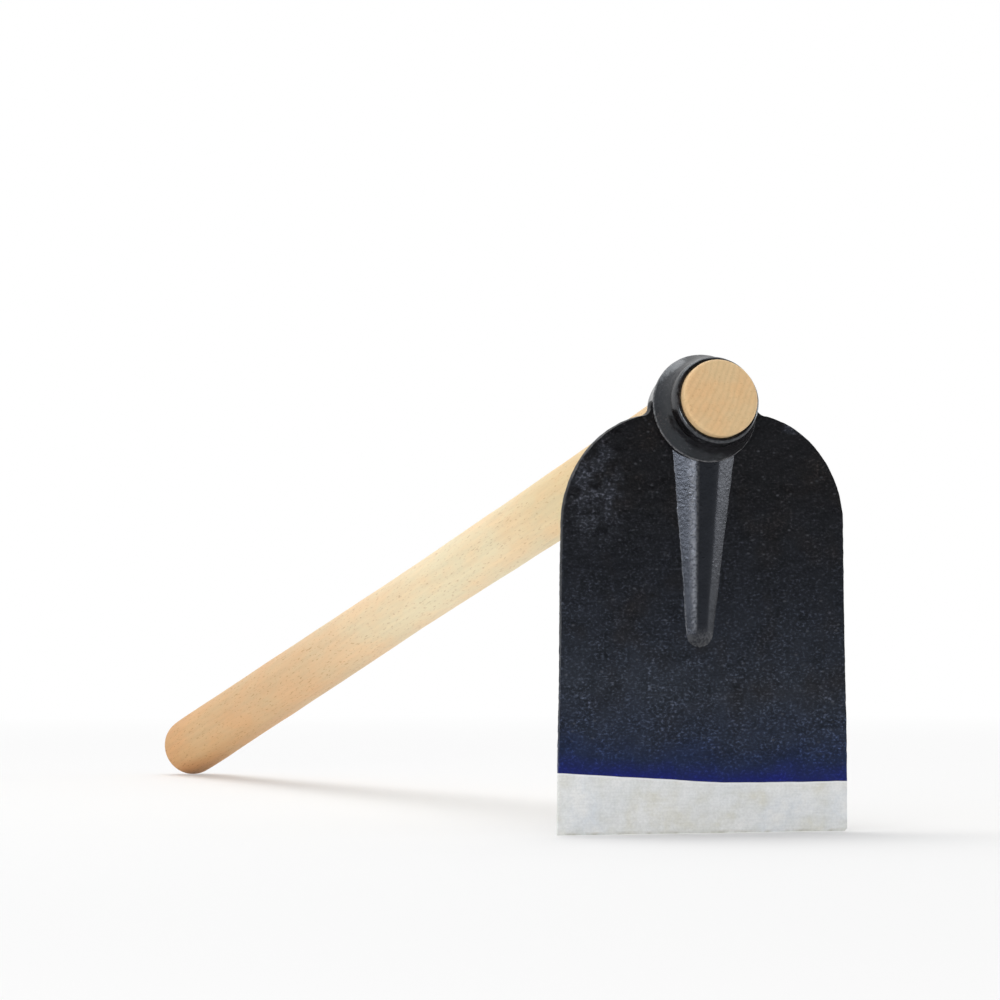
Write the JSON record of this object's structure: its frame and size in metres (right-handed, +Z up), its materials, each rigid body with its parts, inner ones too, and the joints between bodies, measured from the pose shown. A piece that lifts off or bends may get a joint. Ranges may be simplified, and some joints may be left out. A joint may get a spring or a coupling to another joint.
{
  "type": "draw hoe",
  "caption": "Draw hoe: a broad steel blade with round shoulders, a rib and a tapered ring eye, on a long flared wooden handle that draws out through the front of the eye.",
  "frame": {"origin": "middle of the cutting edge, on the ground", "axes": "+Y from the blade towards the butt of the handle, +Z up, +X across the blade; the blade's outer face looks along -Y"},
  "size_m": [0.17, 0.9629, 0.2609],
  "materials": {
    "blade_lacquer": "blue-black lacquer over forge scale, bare ground steel along the edge",
    "rib_lacquer": "glossy blue-black lacquer",
    "collar_lacquer": "glossy black lacquer, rubbed thin on the rim",
    "handle_wood": "smooth sanded pale beech, unvarnished"
  },
  "bodies": {
    "head": {"blade": "blade_lacquer", "rib": "rib_lacquer", "eye_socket": "collar_lacquer"},
    "handle": {"handle": "handle_wood"}
  },
  "joints": [
    {"name": "handle_draw", "type": "slide", "parent": "head", "child": "handle", "axis": [0, -0.9744, 0.225], "range_m": [0, 1]}
  ]
}
